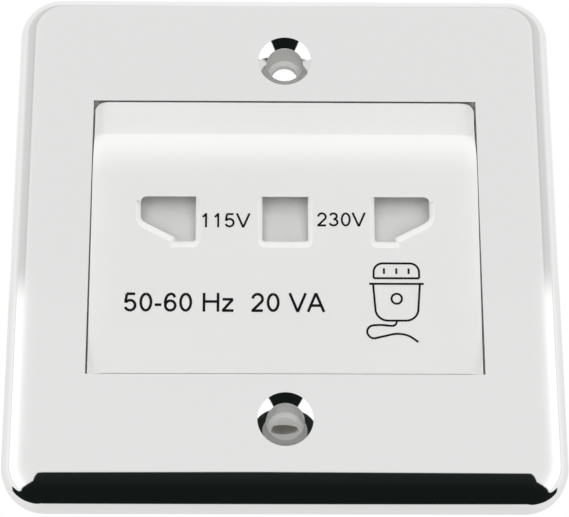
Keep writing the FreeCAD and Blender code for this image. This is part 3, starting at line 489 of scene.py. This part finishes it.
def centre_hole():
    half = CENTRE_HALF
    places = [(-half, HOLE_HIGH), (half, HOLE_HIGH), (half, HOLE_LOW), (-half, HOLE_LOW)]
    return [(x, z, HOLE_R) for x, z in places]


def widened(corners, share):
    """The outline with each edge moved out by a share of its bevel's width, which is nothing at the top."""
    lines = []
    for (x0, z0, _), (x1, z1, _) in zip(corners, corners[1:] + corners[:1]):
        along = Vector((x1 - x0, z1 - z0)).normalized()
        normal = Vector((-along.y, along.x))
        upward, downward = max(0, normal.y), max(0, -normal.y)
        wide = BEVEL_SIDE * (1 - upward) + (BEVEL_LOW - BEVEL_SIDE) * downward
        lines.append((Vector((x0, z0)) + normal * wide * share, along))
    grown = []
    for (place, along), (before, its), (_, _, radius) in zip(lines, lines[-1:] + lines[:-1], corners):
        step = (before - place).cross(its) / along.cross(its)
        meet = place + along * step
        wider = radius + BEVEL_SIDE * share if radius > STEP_R else radius
        grown.append((meet.x, meet.y, wider))
    return grown


def rounded(corners):
    """Points round the outline, each corner eased over its radius."""
    points = []
    for i, (x, z, radius) in enumerate(corners):
        corner = Vector((x, z))
        to_last = (Vector(corners[i - 1][:2]) - corner).normalized()
        to_next = (Vector(corners[(i + 1) % len(corners)][:2]) - corner).normalized()
        reach = radius / math.tan(to_last.angle(to_next) / 2)
        first, last = corner + to_last * reach, corner + to_next * reach
        for step in range(CORNER_CUTS + 1):
            t = step / CORNER_CUTS
            points.append(first * (1 - t) ** 2 + corner * 2 * t * (1 - t) + last * t * t)
    return points


def panel_out(z):
    """How far the flat panel stands out of the wall at a height, in millimetres."""
    x, low, high = PANEL_PROBE
    start, end = (-FACE.drop(x * MM, level * MM) / MM for level in (low, high))
    return start + (end - start) * (z - low) / (high - low)


def loft(bm, loops):
    """A closed solid through loops of as many points each, as (x, out, z) in millimetres."""
    rings = [[bm.verts.new((x * MM, -out * MM, z * MM)) for x, out, z in loop] for loop in loops]
    for lower, upper in zip(rings, rings[1:]):
        bridge(bm, lower, upper)
    fill(bm, rings[0])
    fill(bm, rings[-1])


def cutter(loops):
    """A solid to cut with, which is not a piece of the part."""
    bm = bmesh.new()
    loft(bm, loops)
    return loose_object(bm, "cutter")


def bevel_cutter(corners):
    """A funnel, carried on a little over the panel so that it cuts clean."""
    near = [(p.x, panel_out(p.y) - BEVEL_DEEP, p.y) for p in rounded(corners)]
    over = BEVEL_DEEP * BEVEL_OVER
    far = [(p.x, panel_out(p.y) + over, p.y) for p in rounded(widened(corners, 1 + BEVEL_OVER))]
    return cutter([near, far])


def relief_cutter(corners):
    """Clears the ceiling behind the lip, which rises to the back."""
    edge = panel_out(LIP_EDGE)
    profile = [
        (RELIEF_BACK, RELIEF_LOW),
        (RELIEF_FRONT, RELIEF_LOW),
        (RELIEF_FRONT, LIP_EDGE),
        (edge, LIP_EDGE),
        (RELIEF_BACK, LIP_EDGE + (edge - RELIEF_BACK) * RELIEF_SLOPE),
    ]
    across = [corner[0] for corner in corners]
    ends = (min(across) - CUT_LAP, max(across) + CUT_LAP)
    return cutter([[(x, out, z) for out, z in profile] for x in ends])


def lip_profile(x, drop=0.0):
    """The lip's section at x, with its edge lowered by drop."""
    edge = LIP_EDGE - drop
    back = panel_out(edge) - LIP_BACK
    return [
        (x, panel_out(edge) + LIP_PROUD, edge),
        (x, panel_out(LIP_TOP), LIP_TOP),
        (x, back, LIP_TOP),
        (x, back, edge + LIP_BACK * LIP_UNDER),
    ]


def side_lip(side):
    """A lip from the inner bevel to the outer one, turned down in an arc at the outer wall."""
    inner, outer = SIDE_AT
    loops = [lip_profile(side * (inner - BEVEL_SIDE))]
    for step in range(LIP_STEPS + 1):
        turn = math.radians(90 * step / LIP_STEPS)
        short = LIP_R * (1 - math.sin(turn))
        loops.append(lip_profile(side * (outer - short), LIP_R * (1 - math.cos(turn))))
    loops.append(lip_profile(side * (outer + BEVEL_SIDE), LIP_END))
    return loops


def make_face():
    """Cuts the bevels and the room behind the lips into a copy of the solid, and lays the lips on it."""
    lips = bmesh.new()
    loft(lips, [lip_profile(side * (CENTRE_HALF + BEVEL_SIDE)) for side in (-1, 1)])
    holes = [centre_hole()]
    for side in (-1, 1):
        loft(lips, side_lip(side))
        holes.append(side_hole(side))
    source = NODES["socket_face"].data
    bm = bmesh.new()
    verts = [bm.verts.new(vert.co) for vert in source.vertices]
    for polygon in source.polygons:
        bm.faces.new([verts[i] for i in polygon.vertices])
    bmesh.ops.remove_doubles(bm, verts=bm.verts, dist=WELD * MM)
    blank = loose_object(bm, "blank")
    cutters = [make(corners) for corners in holes for make in (bevel_cutter, relief_cutter)]
    for tool in cutters:
        cut = blank.modifiers.new(tool.name, "BOOLEAN")
        cut.operation = "DIFFERENCE"
        cut.solver = "EXACT"
        cut.object = tool
    bm = bmesh.new()
    bm.from_object(blank, bpy.context.evaluated_depsgraph_get())
    for used in [blank, *cutters]:
        bpy.data.meshes.remove(used.data)
    face = piece_from(bm, "moulded_face", "white_face", BEVEL_CREASE)
    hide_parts("socket_face")
    piece_from(lips, "aperture_lips", "white_face", BEVEL_CREASE)


# Printed marks: thin ink laid on the face, each point dropped straight back onto it

INK = 0.03
INK_SINK = 0.02
LINE = 0.32


def print_mesh(bm, name):
    """Turns a flat drawing in x and z into ink of even thickness on the face."""
    bmesh.ops.triangulate(bm, faces=bm.faces)
    for vert in bm.verts:
        vert.co.y = FACE.drop(vert.co.x, vert.co.z) - INK * MM
    made = bmesh.ops.extrude_face_region(bm, geom=bm.faces[:])
    for item in made["geom"]:
        if isinstance(item, bmesh.types.BMVert):
            item.co.y += (INK + INK_SINK) * MM
    return piece_from(bm, name, "print")


def stroke(bm, points, wide=LINE):
    """A line of even width through points in x and z, in millimetres."""
    left, right = [], []
    for i, (x, z) in enumerate(points):
        before, after = points[max(i - 1, 0)], points[min(i + 1, len(points) - 1)]
        along = Vector((after[0] - before[0], after[1] - before[1])).normalized()
        side = Vector((-along.y, along.x)) * wide / 2
        left.append(bm.verts.new(((x + side.x) * MM, 0, (z + side.y) * MM)))
        right.append(bm.verts.new(((x - side.x) * MM, 0, (z - side.y) * MM)))
    for i in range(len(points) - 1):
        bm.faces.new((left[i], left[i + 1], right[i + 1], right[i]))


def arc(centre, radius, start, end, steps=16):
    """Part of a circle, or of an ellipse where the radius is a pair."""
    wide, high = radius if isinstance(radius, tuple) else (radius, radius)
    angles = [math.radians(start + (end - start) * i / steps) for i in range(steps + 1)]
    return [(centre[0] + wide * math.cos(a), centre[1] + high * math.sin(a)) for a in angles]


def smooth(points, steps=6):
    """A soft curve through the points."""
    padded = [points[0]] + points + [points[-1]]
    curve = []
    for p0, p1, p2, p3 in zip(padded, padded[1:], padded[2:], padded[3:]):
        for i in range(steps):
            t = i / steps
            point = []
            for a, b, c, d in zip(p0, p1, p2, p3):
                bend = (2 * a - 5 * b + 4 * c - d) * t * t
                twist = (3 * b - a - 3 * c + d) * t ** 3
                point.append(0.5 * (2 * b + (c - a) * t + bend + twist))
            curve.append(tuple(point))
    return curve + [points[-1]]


# Plain upright figures as centre lines, one unit high: the room each takes across, and its strokes
GLYPHS = {
    "0": (0.78, [arc((0.39, 0.5), (0.26, 0.44), 90, 450, 28)]),
    "1": (0.78, [[(0.19, 0.74), (0.31, 0.82), (0.42, 0.97)], [(0.42, 1.0), (0.42, 0.0)]]),
    "2": (0.78, [arc((0.38, 0.68), (0.25, 0.26), 175, -30) + [(0.12, 0.06)], [(0.07, 0.06), (0.65, 0.06)]]),
    "3": (0.78, [arc((0.36, 0.73), (0.22, 0.21), 165, -90), arc((0.36, 0.29), (0.26, 0.23), 90, -165)]),
    "5": (0.78, [[(0.62, 0.94), (0.18, 0.94)], [(0.20, 0.94), (0.13, 0.46)],
                 arc((0.37, 0.33), (0.26, 0.27), 145, -160)]),
    "6": (0.78, [arc((0.39, 0.32), (0.25, 0.26), 90, 450, 24),
                 smooth([(0.62, 0.76), (0.54, 0.90), (0.40, 0.94),
                         (0.23, 0.83), (0.14, 0.58), (0.14, 0.32)])]),
    "A": (0.93, [[(0.06, 0.0), (0.465, 1.0)], [(0.465, 1.0), (0.87, 0.0)], [(0.2, 0.34), (0.73, 0.34)]]),
    "H": (1.01, [[(0.15, 0.0), (0.15, 1.0)], [(0.86, 0.0), (0.86, 1.0)], [(0.15, 0.54), (0.86, 0.54)]]),
    "V": (0.93, [[(0.06, 1.0), (0.465, 0.0)], [(0.465, 0.0), (0.87, 1.0)]]),
    "z": (0.70, [[(0.08, 0.66), (0.61, 0.66)], [(0.60, 0.66), (0.09, 0.06)], [(0.06, 0.06), (0.64, 0.06)]]),
    "-": (0.46, [[(0.06, 0.36), (0.40, 0.36)]]),
    " ": (0.39, []),
}
GLYPH_LINE = 0.14
# Words on the face: name, text, left end, foot, width and height in millimetres
WORDS = [
    ("volts_left", "115V", -13.3, 0.5, 7.9, 2.3),
    ("volts_right", "230V", 4.8, 0.73, 7.7, 2.25),
    ("rating", "50-60 Hz  20 VA", -24.9, -13.15, 31.0, 3.0),
]


def print_words():
    for name, text, left, low, width, height in WORDS:
        scale = width / sum(GLYPHS[letter][0] for letter in text)
        bm = bmesh.new()
        for letter in text:
            room, lines = GLYPHS[letter]
            for line in lines:
                stroke(bm, [(left + x * scale, low + z * height) for x, z in line], GLYPH_LINE * height)
            left += room * scale
        print_mesh(bm, name)


# Sign: a plain line drawing of an electric shaver with its lead, about the middle of its collar
SIGN_AT = (17.1, -8.6)
SIGN_COLLAR = 4.2
SIGN_BODY = 3.6
SIGN_FOOT = 3.3
SIGN_FOOT_ROUND = 1.9
SIGN_DEEP = 5.9
SIGN_HEAD = 3.5
SIGN_HEAD_ROUND = 1.4
SIGN_HEAD_LOW = 0.9
SIGN_HEAD_STRAIGHT = 1.9
SIGN_SLOTS = (-1.9, 0.0, 1.9)
SIGN_SLOT_ENDS = (1.6, 2.5)
SIGN_SWITCH = (0.0, -2.4)
SIGN_SWITCH_R = 0.8
SIGN_LEAD = [(0.0, -5.9), (-0.5, -6.7), (-2.5, -6.6), (-4.1, -6.8), (-4.6, -7.8), (-3.8, -8.7), (-2.1, -8.4),
             (-0.1, -8.0), (1.7, -8.3), (3.2, -9.3)]


def print_sign():
    foot_x, foot_z = SIGN_FOOT - SIGN_FOOT_ROUND, SIGN_FOOT_ROUND - SIGN_DEEP
    head_x = SIGN_HEAD - SIGN_HEAD_ROUND
    body = ([(-SIGN_BODY, 0)] + arc((-foot_x, foot_z), SIGN_FOOT_ROUND, 180, 270, 8)
            + arc((foot_x, foot_z), SIGN_FOOT_ROUND, 270, 360, 8) + [(SIGN_BODY, 0)])
    head = ([(-SIGN_HEAD, SIGN_HEAD_LOW)] + arc((-head_x, SIGN_HEAD_STRAIGHT), SIGN_HEAD_ROUND, 180, 90, 8)
            + arc((head_x, SIGN_HEAD_STRAIGHT), SIGN_HEAD_ROUND, 90, 0, 8) + [(SIGN_HEAD, SIGN_HEAD_LOW)])
    lines = [
        body,
        [(-SIGN_COLLAR, 0), (SIGN_COLLAR, 0)],
        head,
        [(-SIGN_HEAD, SIGN_HEAD_LOW), (SIGN_HEAD, SIGN_HEAD_LOW)],
        arc(SIGN_SWITCH, SIGN_SWITCH_R, 0, 360, 24),
        smooth(SIGN_LEAD),
    ]
    lines += [[(x, z) for z in SIGN_SLOT_ENDS] for x in SIGN_SLOTS]
    bm = bmesh.new()
    for line in lines:
        stroke(bm, [(SIGN_AT[0] + x, SIGN_AT[1] + z) for x, z in line])
    print_mesh(bm, "shaver_sign")


# Light, background and camera

WHITE = (1, 1, 1, 1)


def ramp(tree, fac, stops):
    node = add(tree, "ShaderNodeValToRGB")
    tree.links.new(fac, node.inputs["Fac"])
    band = node.color_ramp
    while len(band.elements) < len(stops):
        band.elements.new(0.5)
    for element, (place, level) in zip(band.elements, stops):
        element.position = place / 180
        element.color = (level, level, level, 1)
    return node.outputs["Color"]


def mix_grey(tree, fac, first, second):
    node = add(tree, "ShaderNodeMix", data_type="RGBA")
    for socket, value in (("Factor", fac), ("A", first), ("B", second)):
        if isinstance(value, bpy.types.NodeSocket):
            tree.links.new(value, node.inputs[socket])
        else:
            node.inputs[socket].default_value = value
    return node.outputs["Result"]


# Studio seen by shiny surfaces: level by degrees from straight ahead, to either side
LOW_BAND = [(0, 0.85), (30, 0.87), (40, 0.90), (48, 0.955), (56, 1.03), (64, 1.15), (92, 1.15), (96, 0.78),
            (100, 1.0), (112, 0.92), (130, 0.86), (152, 0.85), (170, 0.78)]
HIGH_BAND = [(0, 0.84), (46, 0.85), (57, 0.88), (63, 0.62), (70, 0.70), (80, 0.71), (90, 0.73), (98, 0.84),
             (108, 0.93), (130, 0.88), (160, 0.95)]
BAND_SPLIT = (20.6, 21.6)
# Top of the dark room below, in degrees above level
SKYLINE = [(0, 3), (11, -2), (19, -15), (27, -28), (40, -34), (60, -38.5), (96, -40), (106, -35), (111, -20),
           (128, -19), (140, -45), (160, -64)]
SKY_SOFT = 2.0
DARK_HIGH = (0.015, 0.019, 0.018, 1)
DARK_LOW = (0.007, 0.010, 0.009, 1)
DARK_SPAN = (-60.0, 0.0)
AMBIENT = 0.09


def make_world():
    """A studio by direction: a pale card above, light boxes at the sides, a dark room below and white behind.
    The camera sees plain white past the object."""
    world = bpy.data.worlds.new("studio")
    scene.world = world
    world.use_nodes = True
    tree = world.node_tree
    axes = add(tree, "ShaderNodeSeparateXYZ")
    tree.links.new(add(tree, "ShaderNodeTexCoord").outputs["Generated"], axes.inputs[0])
    x, y, z = axes.outputs
    aside = math_node(tree, "ABSOLUTE", x)
    front = math_node(tree, "MULTIPLY", y, -1.0)
    turn = math_node(tree, "DIVIDE", math_node(tree, "ARCTAN2", aside, front), math.pi)
    rise = math_node(tree, "DEGREES", math_node(tree, "ARCSINE", z))
    upper = smooth_step(tree, rise, *BAND_SPLIT)
    studio = mix_grey(tree, upper, ramp(tree, turn, LOW_BAND), ramp(tree, turn, HIGH_BAND))
    skyline = ramp(tree, turn, [(place, (level + 90) / 180) for place, level in SKYLINE])
    edge = math_node(tree, "SUBTRACT", math_node(tree, "MULTIPLY", skyline, 180.0), 90.0)
    above = math_node(tree, "SUBTRACT", rise, edge)
    room = mix_grey(tree, smooth_step(tree, rise, *DARK_SPAN), DARK_LOW, DARK_HIGH)
    studio = mix_grey(tree, smooth_step(tree, above, -SKY_SOFT, SKY_SOFT), room, studio)
    path = add(tree, "ShaderNodeLightPath")
    plain = math_node(tree, "MAXIMUM", path.outputs["Is Camera Ray"], path.outputs["Is Transmission Ray"])
    seen = mix_grey(tree, path.outputs["Is Glossy Ray"], (AMBIENT, AMBIENT, AMBIENT, 1), studio)
    tree.links.new(mix_grey(tree, plain, seen, WHITE), tree.nodes["Background"].inputs["Color"])


FLOOR_Z = -0.22
FLOOR_SIDE = 8.0
FLOOR_LEVEL = (0.9, 0.9, 0.9, 1)


def make_floor():
    """A plain pale floor well under the object. It is seen from above only and throws no light back."""
    material, tree, shader = new_material("floor")
    shader.inputs["Base Color"].default_value = (0, 0, 0, 1)
    shader.inputs["Specular IOR Level"].default_value = 0
    shader.inputs["Emission Color"].default_value = FLOOR_LEVEL
    shader.inputs["Emission Strength"].default_value = 1.0
    clear = add(tree, "ShaderNodeBsdfTransparent")
    mix = add(tree, "ShaderNodeMixShader")
    tree.links.new(add(tree, "ShaderNodeNewGeometry").outputs["Backfacing"], mix.inputs["Fac"])
    tree.links.new(shader.outputs["BSDF"], mix.inputs[1])
    tree.links.new(clear.outputs["BSDF"], mix.inputs[2])
    tree.links.new(mix.outputs["Shader"], tree.nodes["Material Output"].inputs["Surface"])
    half = FLOOR_SIDE / 2
    mesh = bpy.data.meshes.new("floor")
    corners = [(x * half, y * half, FLOOR_Z) for x, y in ((-1, -1), (1, -1), (1, 1), (-1, 1))]
    mesh.from_pydata(corners, [], [(0, 1, 2, 3)])
    mesh.materials.append(material)
    floor = bpy.data.objects.new("floor", mesh)
    scene.collection.objects.link(floor)
    floor.visible_diffuse = False
    floor.visible_glossy = False
    floor.visible_shadow = False


TARGET = Vector((0, -7 * MM, 0))
LAMPS = [
    ("lamp_above", (0.0, -0.31, 0.85), 0.6, 4.9),
    ("lamp_front", (0.0, -0.90, 0.03), 0.6, 1.8),
    ("lamp_low", (0.0, -0.82, -0.38), 0.6, 3.1),
    ("lamp_left", (-0.90, -0.03, 0.0), 0.3, 5.8),
    ("lamp_right", (0.90, -0.03, 0.0), 0.3, 5.8),
    ("lamp_behind", (0.0, 0.85, 0.40), 0.8, 5.3),
    ("lamp_under", (0.0, 0.30, -0.85), 0.8, 2.8),
]


def make_lamps():
    for name, place, side, power in LAMPS:
        lamp = bpy.data.lights.new(name, "AREA")
        lamp.size = side
        lamp.energy = power
        holder = bpy.data.objects.new(name, lamp)
        scene.collection.objects.link(holder)
        holder.location = place
        holder.rotation_euler = (TARGET - Vector(place)).to_track_quat("-Z", "Y").to_euler()
        holder.visible_glossy = False
        holder.visible_camera = False


CAMERA_PLACE = Vector((-4.81, -331.65, -136.21)) * MM
CAMERA_TILT = math.radians(22.145)
CAMERA_YAW = math.radians(-0.83)
CAMERA_ROLL = math.radians(-0.12)
CAMERA_LENS = 143.22
SENSOR = 36
NEAREST = 0.01


def make_camera():
    reach = math.cos(CAMERA_TILT)
    back = Vector((math.sin(CAMERA_YAW) * reach, -math.cos(CAMERA_YAW) * reach, -math.sin(CAMERA_TILT)))
    right = Vector((math.cos(CAMERA_YAW), math.sin(CAMERA_YAW), 0))
    up = back.cross(right)
    level = Matrix((right * math.cos(CAMERA_ROLL) + up * math.sin(CAMERA_ROLL),
                    up * math.cos(CAMERA_ROLL) - right * math.sin(CAMERA_ROLL), back)).transposed()
    lens = bpy.data.cameras.new("camera")
    lens.sensor_width = SENSOR
    lens.lens = CAMERA_LENS
    lens.clip_start = NEAREST
    camera = bpy.data.objects.new("camera", lens)
    scene.collection.objects.link(camera)
    camera.matrix_world = Matrix.Translation(CAMERA_PLACE) @ level.to_4x4()
    scene.camera = camera


finish_nodes()
make_plate()
make_spring()
make_face()
print_words()
print_sign()
make_world()
make_floor()
make_lamps()
make_camera()
